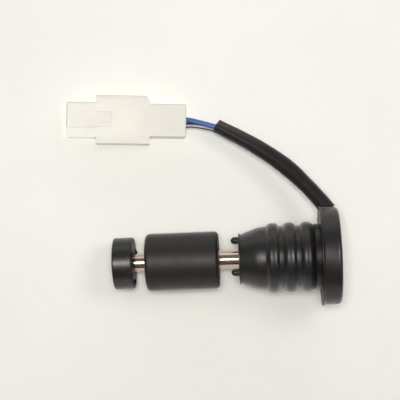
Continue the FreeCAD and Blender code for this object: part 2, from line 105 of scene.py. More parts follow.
class Tree:
    """Node tree of one material, with short calls for the nodes that its finish uses."""

    def __init__(self, name: str) -> None:
        """Start a material with its shader and the piece's own coordinates.

        Args:
            name: Name of the material.
        """
        self.material = bpy.data.materials.new(name)
        self.material.use_nodes = True
        self.nodes = self.material.node_tree.nodes
        self.links = self.material.node_tree.links
        self.shader = self.nodes["Principled BSDF"]
        coordinates = self.add("ShaderNodeTexCoord").outputs
        self.place = coordinates["Object"]
        self.normal = coordinates["Normal"]

    def add(self, kind: str, **settings: Any) -> bpy.types.Node:
        """Add a node.

        Args:
            kind: Blender's name of the node's type.
            settings: Properties to set on the node.

        Returns:
            The new node.
        """
        node = self.nodes.new(kind)
        for key, value in settings.items():
            setattr(node, key, value)
        return node

    def feed(self, node: bpy.types.Node, name: str | int, value: Any) -> None:
        """Link a socket to an input, or set the input to a plain value.

        Args:
            node: Node that takes the value.
            name: Name or number of its input.
            value: Output socket, number, colour or vector.
        """
        if isinstance(value, NodeSocket):
            self.links.new(value, node.inputs[name])
        elif isinstance(value, tuple) and node.inputs[name].type == "RGBA":
            node.inputs[name].default_value = (*value, 1.0)
        else:
            node.inputs[name].default_value = value

    def set(self, **values: Any) -> None:
        """Set or link inputs of the shader, with underscores for the spaces in their names."""
        for name, value in values.items():
            self.feed(self.shader, name.replace("_", " "), value)

    def stretched(self, scale: Point) -> NodeSocket:
        """Scale the piece's own coordinates along each axis.

        Args:
            scale: Factors along X, Y and Z.

        Returns:
            The scaled coordinates.
        """
        node = self.add("ShaderNodeMapping")
        self.feed(node, "Vector", self.place)
        self.feed(node, "Scale", scale)
        return node.outputs["Vector"]

    def noise(self, scale: float, detail: float = 2.0, stretch: Point | None = None) -> NodeSocket:
        """Soft noise.

        Args:
            scale: Features to a metre.
            detail: Octaves on top of the first.
            stretch: Scale along each axis where the noise is drawn out.

        Returns:
            Noise from 0 to 1, mostly between 0.3 and 0.7.
        """
        node = self.add("ShaderNodeTexNoise")
        self.feed(node, "Vector", self.stretched(stretch) if stretch else self.place)
        self.feed(node, "Scale", scale)
        self.feed(node, "Detail", detail)
        return node.outputs["Fac"]

    def cells(self, scale: float) -> NodeSocket:
        """Pattern of small cells.

        Args:
            scale: Cells to a metre.

        Returns:
            Distance to the nearest cell's own point, counted in cells.
        """
        node = self.add("ShaderNodeTexVoronoi")
        self.feed(node, "Vector", self.place)
        self.feed(node, "Scale", scale)
        return node.outputs["Distance"]

    def spread(
        self, value: NodeSocket, low: float, high: float, start: float = 0.3, end: float = 0.7
    ) -> NodeSocket:
        """Carry a value over to another range, held at its ends.

        Args:
            value: What varies over the surface.
            low: Result where the value is at or under start.
            high: Result where the value is at or over end.
            start: Lower end of the value's own range.
            end: Upper end of the value's own range.

        Returns:
            The value in its new range.
        """
        node = self.add("ShaderNodeMapRange")
        for name, number in (("From Min", start), ("From Max", end), ("To Min", low), ("To Max", high)):
            self.feed(node, name, number)
        self.feed(node, "Value", value)
        return node.outputs["Result"]

    def swing(self, pattern: NodeSocket, middle: float, low: float, high: float) -> NodeSocket:
        """Number that is changed by low where a noise is low, and by high where it is high."""
        return self.spread(pattern, middle + low, middle + high)

    def mottled(self, pattern: NodeSocket, first: Colour, second: Colour) -> NodeSocket:
        """Colour that drifts from a first to a second one with a noise."""
        return self.blend(self.spread(pattern, 0.0, 1.0), first, second)

    def facing(self, direction: Vector) -> NodeSocket:
        """Measure how far the surface faces a direction.

        Args:
            direction: Direction in the piece's own coordinates, one unit long.

        Returns:
            From -1 where the surface faces away to 1 where it faces that way.
        """
        node = self.add("ShaderNodeVectorMath", operation="DOT_PRODUCT")
        self.feed(node, 0, self.normal)
        self.feed(node, 1, direction)
        return node.outputs["Value"]

    def height(self) -> NodeSocket:
        """Measure where along the stem a point lies.

        Returns:
            Height along the stem, in metres.
        """
        node = self.add("ShaderNodeSeparateXYZ")
        self.feed(node, 0, self.place)
        return node.outputs["Z"]

    def thinned(self, passed: float) -> NodeSocket:
        """Opacity that is whole to the eye and lets a share of the lamps' light through in the shadow."""
        shadow = self.add("ShaderNodeLightPath").outputs["Is Shadow Ray"]
        return self.spread(shadow, 1.0, 1.0 - passed)

    def maths(self, operation: str, first: Any, second: Any) -> NodeSocket:
        """Add or multiply two values.

        Args:
            operation: Blender's name of the operation.
            first: Number or socket.
            second: Number or socket.

        Returns:
            The sum or product.
        """
        node = self.add("ShaderNodeMath", operation=operation)
        self.feed(node, 0, first)
        self.feed(node, 1, second)
        return node.outputs["Value"]

    def blend(self, share: NodeSocket, first: Any, second: Any) -> NodeSocket:
        """Colour between two others.

        Args:
            share: How much of the second colour shows, from 0 to 1.
            first: Colour or socket.
            second: Colour or socket.

        Returns:
            The blended colour.
        """
        node = self.add("ShaderNodeMix", data_type="RGBA")
        # Several sockets of this node share a name, so they go by their numbers.
        for number, value in ((0, share), (6, first), (7, second)):
            self.feed(node, number, value)
        return node.outputs[2]

    def bump(self, height: NodeSocket, depth: float, strength: float, over: Any = None) -> NodeSocket:
        """Relief on the surface.

        Args:
            height: Height from 0 to 1.
            depth: Size of that height in metres.
            strength: Share of the relief that shows.
            over: Relief that this one lies on.

        Returns:
            The shading normal.
        """
        node = self.add("ShaderNodeBump")
        self.feed(node, "Height", height)
        self.feed(node, "Distance", depth)
        self.feed(node, "Strength", strength)
        if over is not None:
            self.feed(node, "Normal", over)
        return node.outputs["Normal"]


@dataclass(frozen=True)
class DullEnd:
    """Flat end of a piece, with less gloss and dust than its sides."""

    direction: Point
    start: float
    end: float
    gloss: float

    def paint(self, tree: Tree, dust: Any) -> None:
        """Set gloss and dust on the sides, and fade them as the surface turns to the end's direction.

        Args:
            tree: Material to paint.
            dust: Dust on the sides, as a number or a socket.
        """
        turned = tree.facing(Vector(self.direction))
        fade = tree.spread(turned, 1.0, 0.0, self.start, self.end)
        tree.set(
            Specular_IOR_Level=tree.spread(turned, PLAIN_GLOSS, self.gloss, self.start, self.end),
            Sheen_Weight=tree.maths("MULTIPLY", dust, fade),
        )


@dataclass(frozen=True)
class Finish:
    """Finish of a surface, painted on its material by a subclass."""

    slot: Slot

    def paint(self, tree: Tree) -> None:
        """Set the shader's inputs."""
        raise NotImplementedError

    def material(self) -> bpy.types.Material:
        """Make the material with this finish, or find it again.

        Returns:
            The material.
        """
        name = f"{self.slot.value}_finish"
        if name in bpy.data.materials:
            return bpy.data.materials[name]
        tree = Tree(name)
        self.paint(tree)
        return tree.material


@dataclass(frozen=True, kw_only=True)
class MouldedRubber(Finish):
    """Black rubber from a turned mould: faint bloom in clouds, fine grain, and rings left by the tool."""

    dark: Colour
    bloom: Colour
    roughness: float
    dust: float
    rib_dust: float
    rib_dust_spread: float = 0.45
    flange_under: float = -0.0005
    rib_start: float = -0.004
    end_face: DullEnd = DullEnd(STEM_DOWN, start=0.82, end=0.96, gloss=0.08)

    def paint(self, tree: Tree) -> None:
        """Paint bloom, grain and rings, dust that is softer on the ribs than on the flange, and a dull end.

        Args:
            tree: Material to paint.
        """
        cloud = tree.noise(scale=150.0, detail=4.0)
        grain = tree.noise(scale=3200.0, detail=3.0)
        rings = tree.noise(scale=2000.0, detail=3.0, stretch=(0.06, 0.06, 1.0))
        relief = tree.bump(rings, depth=0.00004, strength=0.8)
        height = tree.height()
        tree.set(
            Base_Color=tree.mottled(cloud, self.dark, self.bloom),
            Roughness=tree.swing(rings, self.roughness, low=-0.05, high=0.07),
            Sheen_Roughness=tree.spread(
                height, self.rib_dust_spread, DUST_SPREAD, self.rib_start, self.flange_under
            ),
            Normal=tree.bump(grain, depth=0.00003, strength=0.5, over=relief),
        )
        dust = tree.spread(height, self.rib_dust, self.dust, self.rib_start, self.flange_under)
        self.end_face.paint(tree, dust)


@dataclass(frozen=True, kw_only=True)
class FoamSkin(Finish):
    """Closed-cell foam with a pressed skin: tiny pores, a warm black and rubbed patches."""

    dark: Colour
    rubbed: Colour
    roughness: float
    dust: float
    end_face: DullEnd = DullEnd(STEM_UP, start=0.2, end=0.9, gloss=0.05)

    def paint(self, tree: Tree) -> None:
        """Paint pores, patches, an uneven gloss and a dull end.

        Args:
            tree: Material to paint.
        """
        patch = tree.noise(scale=120.0, detail=5.0)
        pores = tree.spread(tree.cells(scale=2600.0), 0.0, 1.0, start=0.05, end=0.3)
        relief = tree.bump(tree.noise(scale=420.0, detail=3.0), depth=0.00005, strength=0.3)
        tree.set(
            Base_Color=tree.mottled(patch, self.dark, self.rubbed),
            Roughness=tree.swing(patch, self.roughness, low=0.05, high=-0.04),
            IOR=1.42,
            Sheen_Roughness=DUST_SPREAD,
            Normal=tree.bump(pores, depth=0.00003, strength=0.35, over=relief),
        )
        self.end_face.paint(tree, self.dust)


@dataclass(frozen=True, kw_only=True)
class SatinMoulding(Finish):
    """Hard moulded plastic with a satin gloss, handled enough to carry fine scuffs."""

    dark: Colour
    scuffed: Colour
    roughness: float
    dust: float
    scuff_roughness: float = 0.2
    end_face: DullEnd = DullEnd(STEM_UP, start=0.5, end=0.95, gloss=0.05)

    def paint(self, tree: Tree) -> None:
        """Paint scuffs that run across the piece and roughen it, and a dull end.

        Args:
            tree: Material to paint.
        """
        scuffs = tree.noise(scale=600.0, detail=6.0, stretch=(0.35, 0.35, 2.2))
        patch = tree.noise(scale=160.0)
        worn = tree.maths(
            "MULTIPLY",
            tree.spread(scuffs, 0.0, 1.0, start=0.58, end=0.7),
            tree.spread(patch, 0.0, 1.0, start=0.45, end=0.6),
        )
        satin = tree.swing(scuffs, self.roughness, low=-0.04, high=0.05)
        relief = tree.bump(tree.noise(scale=2400.0), depth=0.00002, strength=0.3)
        tree.set(
            Base_Color=tree.blend(worn, self.dark, self.scuffed),
            Roughness=tree.maths("ADD", satin, tree.maths("MULTIPLY", worn, self.scuff_roughness)),
            Sheen_Roughness=DUST_SPREAD,
            Normal=tree.bump(scuffs, depth=0.00004, strength=0.25, over=relief),
        )
        self.end_face.paint(tree, self.dust)


@dataclass(frozen=True, kw_only=True)
class DrawnMetal(Finish):
    """Drawn and polished tube: fine lines along it and a thin warm tarnish."""

    bright: Colour
    tarnish: Colour
    roughness: float

    def paint(self, tree: Tree) -> None:
        """Paint draw lines along the stem and tarnish in drifts.

        Args:
            tree: Material to paint.
        """
        lines = tree.noise(scale=2600.0, stretch=(1.0, 1.0, 0.02))
        drift = tree.noise(scale=220.0, detail=4.0, stretch=(1.0, 1.0, 0.5))
        tree.set(
            Base_Color=tree.mottled(drift, self.bright, self.tarnish),
            Metallic=1.0,
            Roughness=tree.swing(lines, self.roughness, low=-0.03, high=0.05),
            Normal=tree.bump(lines, depth=0.00002, strength=0.15),
        )


@dataclass(frozen=True, kw_only=True)
class PlatedMetal(Finish):
    """Small stamped, turned or crimped metal piece with tool marks."""

    bright: Colour
    dull: Colour
    roughness: float

    def paint(self, tree: Tree) -> None:
        """Paint tool marks and dull spots.

        Args:
            tree: Material to paint.
        """
        spots = tree.noise(scale=900.0, detail=4.0)
        marks = tree.noise(scale=4000.0, stretch=(1.0, 0.2, 1.0))
        tree.set(
            Base_Color=tree.mottled(spots, self.bright, self.dull),
            Metallic=1.0,
            Roughness=tree.swing(marks, self.roughness, low=-0.05, high=0.1),
            Normal=tree.bump(marks, depth=0.00002, strength=0.3),
        )


@dataclass(frozen=True, kw_only=True)
class HousedMetal(PlatedMetal):
    """Metal held inside a milky housing, where scattered light fills a part of its shadow."""

    passed: float

    def paint(self, tree: Tree) -> None:
        """Paint the metal and thin its shadow."""
        super().paint(tree)
        tree.set(Alpha=tree.thinned(self.passed))


@dataclass(frozen=True, kw_only=True)
class SoftVinyl(Finish):
    """Soft vinyl: mottled, with a waxy gloss and small dents."""

    dark: Colour
    pale: Colour
    roughness: float
    dents: float
    gloss: float = PLAIN_GLOSS
    dust: float = 0.0

    def paint(self, tree: Tree) -> None:
        """Paint mottling, dents and an uneven gloss.

        Args:
            tree: Material to paint.
        """
        mottle = tree.noise(scale=260.0, detail=4.0)
        dent = tree.noise(scale=700.0)
        grain = tree.bump(tree.noise(scale=4200.0), depth=0.00001, strength=0.4)
        tree.set(
            Base_Color=tree.mottled(mottle, self.dark, self.pale),
            Roughness=tree.swing(dent, self.roughness, low=-0.05, high=0.06),
            Specular_IOR_Level=self.gloss,
            Sheen_Weight=self.dust,
            Sheen_Roughness=DUST_SPREAD,
            Normal=tree.bump(dent, depth=self.dents, strength=0.4, over=grain),
        )


@dataclass(frozen=True, kw_only=True)
class SleeveVinyl(SoftVinyl):
    """Dusty sleeve that is rubbed clean and smooth towards its cut end."""

    rubbed: float
    rim_dust: float
    rub_start: float = -0.014
    rub_end: float = -0.034

    def paint(self, tree: Tree) -> None:
        """Paint the vinyl, then lift its gloss and thin its dust towards the cut end.

        Args:
            tree: Material to paint.
        """
        super().paint(tree)
        height = tree.height()
        tree.set(
            Specular_IOR_Level=tree.spread(height, self.rubbed, self.gloss, self.rub_end, self.rub_start),
            Sheen_Weight=tree.spread(height, self.dust, self.rim_dust, self.rub_end, self.rub_start),
            Sheen_Roughness=0.4,
        )


@dataclass(frozen=True, kw_only=True)
class TracerVinyl(SoftVinyl):
    """Wire insulation with a pale tracer stripe along the side that lies uppermost."""

    tracer: Colour
    side: Point = (0.22, -1.0, 0.0)
    half_angle_deg: float = 24.0
    edge_blur: float = 0.015

    def paint(self, tree: Tree) -> None:
        """Paint the vinyl, then the stripe where the wire's side faces the stripe's direction.

        Args:
            tree: Material to paint.
        """
        super().paint(tree)
        turned = tree.facing(Vector(self.side).normalized())
        edge = math.cos(math.radians(self.half_angle_deg))
        stripe = tree.spread(turned, 0.0, 1.0, edge - self.edge_blur, edge + self.edge_blur)
        ground = tree.shader.inputs["Base Color"].links[0].from_socket
        tree.set(Base_Color=tree.blend(stripe, ground, self.tracer))


@dataclass(frozen=True, kw_only=True)
class MilkyNylon(Finish):
    """Natural nylon: milky, lets some light through, with flow clouds and a fine moulded texture."""

    milk: Colour
    cream: Colour
    roughness: float
    reach: float
    passed: float
    clear: float

    def paint(self, tree: Tree) -> None:
        """Paint flow clouds and a fine texture, and let light into and through the plastic.

        Args:
            tree: Material to paint.
        """
        flow = tree.noise(scale=130.0, detail=3.0)
        texture = tree.noise(scale=2200.0)
        relief = tree.bump(flow, depth=0.0002, strength=0.12)
        tree.set(
            Base_Color=tree.mottled(flow, self.milk, self.cream),
            Roughness=tree.swing(texture, self.roughness, low=-0.05, high=0.05),
            IOR=1.53,
            Subsurface_Weight=0.8,
            Transmission_Weight=self.clear,
            Subsurface_Radius=(1.0, 0.9, 0.75),
            Subsurface_Scale=self.reach,
            Alpha=tree.thinned(self.passed),
            Normal=tree.bump(texture, depth=0.00002, strength=0.25, over=relief),
        )


@dataclass(frozen=True, kw_only=True)
class SinteredFerrite(Finish):
    """Grey-black ferrite with an open grain."""

    dark: Colour
    grey: Colour

    def paint(self, tree: Tree) -> None:
        """Paint grains and pits.

        Args:
            tree: Material to paint.
        """
        grains = tree.cells(scale=3500.0)
        tree.set(
            Base_Color=tree.blend(tree.spread(grains, 0.0, 1.0, start=0.1, end=0.5), self.dark, self.grey),
            Metallic=0.2,
            Roughness=tree.spread(tree.noise(scale=800.0, detail=3.0), low=0.5, high=0.7),
            Normal=tree.bump(grains, depth=0.00004, strength=0.5),
        )


@dataclass(frozen=True, kw_only=True)
class CapsuleGlass(Finish):
    """Thin drawn glass with a faint green tint."""

    pale: Colour
    deep: Colour

    def paint(self, tree: Tree) -> None:
        """Paint a clear wall with faint draw waves.

        Args:
            tree: Material to paint.
        """
        waves = tree.noise(scale=700.0, stretch=(1.0, 1.0, 0.2))
        tree.set(
            Base_Color=tree.mottled(waves, self.pale, self.deep),
            Roughness=tree.spread(waves, low=0.02, high=0.06),
            IOR=1.47,
            Transmission_Weight=0.92,
            Normal=tree.bump(waves, depth=0.00002, strength=0.2),
        )


FINISHES: dict[Slot, Finish] = {
    finish.slot: finish
    for finish in (
        MouldedRubber(
            Slot.RUBBER,
            dark=(0.006, 0.0058, 0.0066),
            bloom=(0.011, 0.0100, 0.0098),
            roughness=0.36,
            dust=0.2,
            rib_dust=0.24,
        ),
        FoamSkin(
            Slot.FOAM,
            dark=(0.014, 0.0125, 0.012),
            rubbed=(0.020, 0.0175, 0.016),
            roughness=0.46,
            dust=0.4,
        ),
        SatinMoulding(
            Slot.STOP,
            dark=(0.013, 0.0125, 0.0125),
            scuffed=(0.06, 0.056, 0.053),
            roughness=0.33,
            dust=0.2,
        ),
        DrawnMetal(Slot.STEM, bright=(0.64, 0.52, 0.42), tarnish=(0.54, 0.43, 0.34), roughness=0.19),
        SleeveVinyl(
            Slot.SLEEVE,
            dark=(0.010, 0.0092, 0.0092),
            pale=(0.018, 0.0165, 0.016),
            roughness=0.50,
            dents=0.00004,
            gloss=0.10,
            dust=0.55,
            rubbed=0.32,
            rim_dust=1.0,
        ),
        SoftVinyl(
            Slot.BLUE,
            dark=(0.048, 0.108, 0.345),
            pale=(0.065, 0.14, 0.42),
            roughness=0.34,
            dents=0.00002,
        ),
        TracerVinyl(
            Slot.BLACK,
            dark=(0.010, 0.010, 0.011),
            pale=(0.018, 0.018, 0.019),
            roughness=0.22,
            dents=0.00002,
            tracer=(0.50, 0.49, 0.47),
        ),
        MilkyNylon(
            Slot.NYLON,
            milk=(0.790, 0.782, 0.737),
            cream=(0.770, 0.758, 0.708),
            roughness=0.38,
            reach=0.0015,
            passed=0.80,
            clear=0.2,
        ),
        HousedMetal(
            Slot.TERMINAL,
            bright=(0.80, 0.62, 0.34),
            dull=(0.66, 0.48, 0.25),
            roughness=0.28,
            passed=0.92,
        ),
        PlatedMetal(Slot.COLLAR, bright=(0.70, 0.54, 0.32), dull=(0.56, 0.42, 0.24), roughness=0.32),
        SinteredFerrite(Slot.FERRITE, dark=(0.05, 0.05, 0.055), grey=(0.11, 0.11, 0.12)),
        CapsuleGlass(Slot.GLASS, pale=(0.86, 0.94, 0.90), deep=(0.78, 0.90, 0.84)),
        PlatedMetal(Slot.REED, bright=(0.72, 0.70, 0.66), dull=(0.58, 0.56, 0.53), roughness=0.22),
        SoftVinyl(
            Slot.INSULATOR,
            dark=(0.72, 0.71, 0.66),
            pale=(0.82, 0.81, 0.77),
            roughness=0.40,
            dents=0.00003,
        ),
        SoftVinyl(
            Slot.INNER,
            dark=(0.46, 0.075, 0.06),
            pale=(0.58, 0.12, 0.09),
            roughness=0.34,
            dents=0.00002,
        ),
        PlatedMetal(Slot.CRIMP, bright=(0.74, 0.74, 0.73), dull=(0.58, 0.58, 0.57), roughness=0.30),
        SoftVinyl(
            Slot.POTTING,
            dark=(0.035, 0.035, 0.036),
            pale=(0.06, 0.06, 0.06),
            roughness=0.45,
            dents=0.00006,
        ),
    )
}


def dress_node(name: str, slot: Slot) -> None:
    """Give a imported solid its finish.

    Args:
        name: Name of the node.
        slot: Slot whose finish it takes.
    """
    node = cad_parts[name]
    material = FINISHES[slot].material()
    if not node.material_slots:
        node.data.materials.append(material)
    for place in node.material_slots:
        place.material = material
    log.info("%s takes the finish %s", name, slot.value)


def dress_new(piece: bpy.types.Object, slot: Slot, stands_for: str) -> None:
    """Give a new piece of the lead its finish and its body, and hide the solid that it stands for.

    Args:
        piece: Mesh or curve object that is in place.
        slot: Slot whose finish it takes.
        stands_for: Name of the node that it replaces.
    """
    piece.data.materials.append(FINISHES[slot].material())
    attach(piece, LEAD_BODY)
    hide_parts(stands_for)
    log.info("%s built on %s in place of %s", piece.name, LEAD_BODY, stands_for)


def add_object(name: str, data: bpy.types.ID) -> bpy.types.Object:
    """Put a mesh, curve, lamp or camera in the scene.

    Args:
        name: Name of the object.
        data: What the object shows or does.

    Returns:
        The object.
    """
    made = bpy.data.objects.new(name, data)
    bpy.context.scene.collection.objects.link(made)
    return made


def spline_curve(name: str, points: Sequence[Vector], radius: float) -> bpy.types.Object:
    """Curve on one smooth spline.

    Args:
        name: Name of the object.
        points: Control points.
        radius: Radius of the round bar along it, or 0 for a bare line.

    Returns:
        The curve's object.
    """
    data = bpy.data.curves.new(name, "CURVE")
    data.dimensions = "3D"
    spline = data.splines.new("NURBS")
    spline.points.add(len(points) - 1)
    for control, place in zip(spline.points, points):
        control.co = (*place, 1.0)
    spline.use_endpoint_u = True
    spline.order_u = SPLINE_ORDER
    data.resolution_u = SPLINE_STEPS
    spline.resolution_u = SPLINE_STEPS
    data.bevel_depth = radius
    data.bevel_resolution = BAR_STEPS
    data.use_fill_caps = radius > 0
    return add_object(name, data)


def spline_points(points: Sequence[Vector]) -> list[Vector]:
    """Points along the smooth spline of a route.

    Args:
        points: Control points.

    Returns:
        Points read from the spline, in order.
    """
    bare = spline_curve("bare_route", points, 0.0)
    mesh = bpy.data.meshes.new_from_object(bare)
    places = [vertex.co.copy() for vertex in mesh.vertices]
    curve = bare.data
    bpy.data.objects.remove(bare)
    bpy.data.curves.remove(curve)
    bpy.data.meshes.remove(mesh)
    return places


def smooth_mesh(name: str, places: Sequence[Vector], faces: Sequence[Sequence[int]]) -> bpy.types.Object:
    """Mesh object, smooth but for its sharp edges.

    Args:
        name: Name of the object.
        places: Vertices.
        faces: Vertex numbers of each face.

    Returns:
        The object.
    """
    mesh = bpy.data.meshes.new(name)
    mesh.from_pydata(places, [], faces)
    mesh.validate()
    for polygon in mesh.polygons:
        polygon.use_smooth = True
    mesh.set_sharp_from_angle(angle=math.radians(SHARP_DEG))
    return add_object(name, mesh)


def axes_turn(across: Vector, up: Vector, out: Vector) -> Matrix:
    """Turn that takes local X, Y and Z to three directions."""
    return Matrix((across, up, out)).transposed().to_4x4()


def stem_turn(out: Vector) -> Matrix:
    """Turn that takes local Z to a direction, and local Y as near to the stem's direction as that allows."""
    along = (Vector(STEM_UP) - out * out.z).normalized()
    return axes_turn(along.cross(out), along, out)


def share_of(value: float, start: float, end: float) -> float:
    """Share of the way from a start to an end, held between 0 and 1."""
    return min(max((value - start) / (end - start), 0.0), 1.0)


def eased(share: float) -> float:
    """Share that starts and ends gently."""
    return share * share * (3.0 - 2.0 * share)


def finished(**slots: Slot) -> Any:
    """Dataclass field for the solids of a unit, each with the slot whose finish it takes."""
    return field(default_factory=lambda: dict(slots))


@dataclass
class Unit:
    """Sub-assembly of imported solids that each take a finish."""

    pieces: dict[str, Slot] = finished()

    def dress(self) -> None:
        """Finish every solid of the unit."""
        for name, slot in self.pieces.items():
            dress_node(name, slot)


@dataclass
class SealHead(Unit):
    """Rubber plug and the ring moulded into it."""

    pieces: dict[str, Slot] = finished(seal_plug=Slot.RUBBER, stem_collar=Slot.COLLAR)


@dataclass
class Stem(Unit):
    """Metal stem, its sealing compound and the stop on its end."""

    pieces: dict[str, Slot] = finished(stem_tube=Slot.STEM, stem_potting=Slot.POTTING, end_stop=Slot.STOP)


@dataclass
class FloatUnit(Unit):
    """Float and its ring magnet."""

    pieces: dict[str, Slot] = finished(float_body=Slot.FOAM, ring_magnet=Slot.FERRITE)


@dataclass
class ReedSwitch(Unit):
    """Reed switch inside the stem, with its inner wires and joints."""

    pieces: dict[str, Slot] = finished(
        reed_glass=Slot.GLASS,
        upper_reed=Slot.REED,
        lower_reed=Slot.REED,
        reed_insulator=Slot.INSULATOR,
        feed_wire=Slot.INNER,
        return_wire=Slot.INNER,
        feed_splice=Slot.CRIMP,
        return_splice=Slot.CRIMP,
        upper_crimp=Slot.CRIMP,
        lower_crimp=Slot.CRIMP,
    )


@dataclass
class ConnectorPair(Unit):
    """Tab housing with its terminals, and the socket housing plugged into it."""

    pieces: dict[str, Slot] = finished(
        tab_housing=Slot.NYLON,
        socket_housing=Slot.NYLON,
        blue_terminal=Slot.TERMINAL,
        black_terminal=Slot.TERMINAL,
    )
    entry: Point = (-0.054133, 0.007127, -0.04995)
    pitch_deg: float = 6.5
    yaw_deg: float = 3.0

    def placement(self) -> Matrix:
        """Work out how the connector lies.

        Returns:
            Place with local Z back to the wires, X across the connector and Y out of its face.
        """
        pitch = math.radians(self.pitch_deg)
        yaw = math.radians(self.yaw_deg)
        ahead = Vector((-math.sin(yaw) * math.cos(pitch), -math.sin(pitch), -math.cos(yaw) * math.cos(pitch)))
        front = Vector((0.0, -1.0, 0.0))
        out = (front - ahead * front.dot(ahead)).normalized()
        return Matrix.Translation(self.entry) @ axes_turn(ahead.cross(out), out, -ahead)


@dataclass(frozen=True, kw_only=True)
class Wire:
    """One wire of the lead: its side in the sleeve, its free stretch, its length and what hangs on it.

    The sign is 1 for the wire on the camera's side in the sleeve and -1 for the other.
    """

    name: str
    stands_for: str
    slot: Slot
    sign: int
    free: tuple[Point, ...]
    length: float
    on_it: tuple[str, ...]


@dataclass
class Lead:
    """Two insulated wires and the soft sleeve over them, from the rim to the connector.

    A point of a route is its distance from the stem's axis and its height. A point of a wire's free stretch
    also has, between these two, its distance from the lead's plane.
    """

    azimuth_deg: float = 7.5
    wire_d: float = 0.0020
    wire_offset: float = 0.0013
    sleeve_d: float = 0.0062
    sleeve_wall: float = 0.0006
    wire_start: tuple[tuple[float, float], ...] = ((0.0084, 0.0053), (0.0156, 0.0053))
    sleeve_start: tuple[float, float] = (0.01745, 0.00395)
    shared_route: tuple[tuple[float, float], ...] = (
        (0.0213, 0.0011),
        (0.0262, -0.00295),
        (0.03475, -0.0109),
        (0.04275, -0.02145),
        (0.0485, -0.0310),
    )
    sleeve_end: tuple[float, float] = (0.0523, -0.0379)
    wires: tuple[Wire, ...] = (
        Wire(
            name="blue_lead",
            stands_for="blue_wire",
            slot=Slot.BLUE,
            sign=1,
            free=((0.0515, 0.0012, -0.0374), (0.0530, 0.0010, -0.0420), (0.05475, 0.0007, -0.0473)),
            length=0.0868,
            on_it=("tab_housing", "socket_housing", "blue_terminal"),
        ),
        Wire(
            name="black_lead",
            stands_for="black_wire",
            slot=Slot.BLACK,
            sign=-1,
            free=((0.0511, -0.0011, -0.0376), (0.0522, -0.00105, -0.0418), (0.0532, -0.00085, -0.0468)),
            length=0.0864,
            on_it=("black_terminal",),
        ),
    )
    wire_mouth: float = 0.00105
    wire_mouth_drop: float = 0.0003
    terminal_side: float = 0.0023
    settle_depth: float = 0.0044
    barrel_depth: float = 0.0098
    outlet: tuple[float, float] = (0.01855, 0.00314)
    sleeve_length: float = 0.0550
    sleeve_widths: tuple[tuple[float, float], ...] = (
        (0.0, 1.03),
        (0.2, 1.0),
        (0.3, 1.0),
        (0.5, 1.08),
        (0.68, 1.02),
        (0.85, 0.955),
        (1.0, 0.905),
    )
    pinch_start: float = 0.35
    pinch_depth: float = 0.55
    pinch_low: float = -0.25
    around: int = 56

    def part_point(self, out: float, side: float, height: float) -> Vector:
        """Point of the part's frame.

        Args:
            out: Distance from the stem's axis in the lead's plane.
            side: Distance from that plane, towards the camera.
            height: Height along the stem.

        Returns:
            The point.
        """
        turn = math.radians(180.0 - self.azimuth_deg)
        return Vector((
            out * math.cos(turn) - side * math.sin(turn),
            out * math.sin(turn) + side * math.cos(turn),
            height,
        ))

    def wire_points(self, wire: Wire, connector: Matrix) -> list[Vector]:
        """Control points of one wire, from its splice to its terminal.

        Args:
            wire: The wire.
            connector: Place of the connector.

        Returns:
            The control points.
        """
        shared = self.wire_start + self.shared_route
        points = [self.part_point(out, wire.sign * self.wire_offset, height) for out, height in shared]
        points += [self.part_point(*point) for point in wire.free]
        for across, depth in (
            (wire.sign * self.wire_mouth - self.wire_mouth_drop, 0.0),
            (wire.sign * self.terminal_side, self.settle_depth),
            (wire.sign * self.terminal_side, self.barrel_depth),
        ):
            points.append(connector @ Vector((across, 0.0, -depth)))
        return points

    def build_wire(self, wire: Wire, connector: Matrix) -> None:
        """Build one insulated wire.

        Args:
            wire: The wire.
            connector: Place of the connector.
        """
        piece = spline_curve(wire.name, self.wire_points(wire, connector), self.wire_d / 2)
        dress_new(piece, wire.slot, wire.stands_for)

    def sleeve_width(self, along: float) -> float:
        """Width of the sleeve in the lead's plane, as a share of its plain diameter.

        Args:
            along: Share of the sleeve's length from the rim.

        Returns:
            The share.
        """
        for (before, narrow), (after, wide) in zip(self.sleeve_widths, self.sleeve_widths[1:]):
            if along <= after:
                return narrow + (wide - narrow) * eased(share_of(along, before, after))
        return self.sleeve_widths[-1][1]

    def sleeve_section(self, along: float, turn: float) -> tuple[float, float]:
        """Point of the sleeve's outside, in radii of the plain tube.

        Where the sleeve is wider in the lead's plane it is flatter by as much. Towards its cut end it is
        pinched too, on the part of its section that lies above pinch_low.

        Args:
            along: Share of the sleeve's length from the rim.
            turn: Angle round it from the camera's side.

        Returns:
            Place towards the camera, and place across the lead in its plane.
        """
        width = self.sleeve_width(along)
        height = math.sin(turn)
        fade = share_of(along, self.pinch_start, 1.0)
        pinch = 1.0 - self.pinch_depth * fade * eased(share_of(height, self.pinch_low, 1.0))
        return (2.0 - width) * pinch * math.cos(turn), width * height

    def sleeve_places(self, line: Sequence[Vector]) -> list[Vector]:
        """Vertices of the sleeve, ring by ring.

        Args:
            line: Points along the sleeve's middle.

        Returns:
            All rings of the outside, then all rings of the inside.
        """
        side = self.part_point(0.0, 1.0, 0.0)
        last = len(line) - 1
        places: list[Vector] = []
        for wall in (0.0, self.sleeve_wall):
            for number, middle in enumerate(line):
                heading = (line[min(number + 1, last)] - line[max(number - 1, 0)]).normalized()
                up = heading.cross(side)
                for step in range(self.around):
                    near, high = self.sleeve_section(number / last, math.tau * step / self.around)
                    places.append(middle + (self.sleeve_d / 2 - wall) * (near * side + high * up))
        return places

    def ring_edges(self, ring: int) -> list[tuple[int, int]]:
        """Vertex numbers of the edges round one ring of the sleeve's outside."""
        first = ring * self.around
        return [(first + step, first + (step + 1) % self.around) for step in range(self.around)]

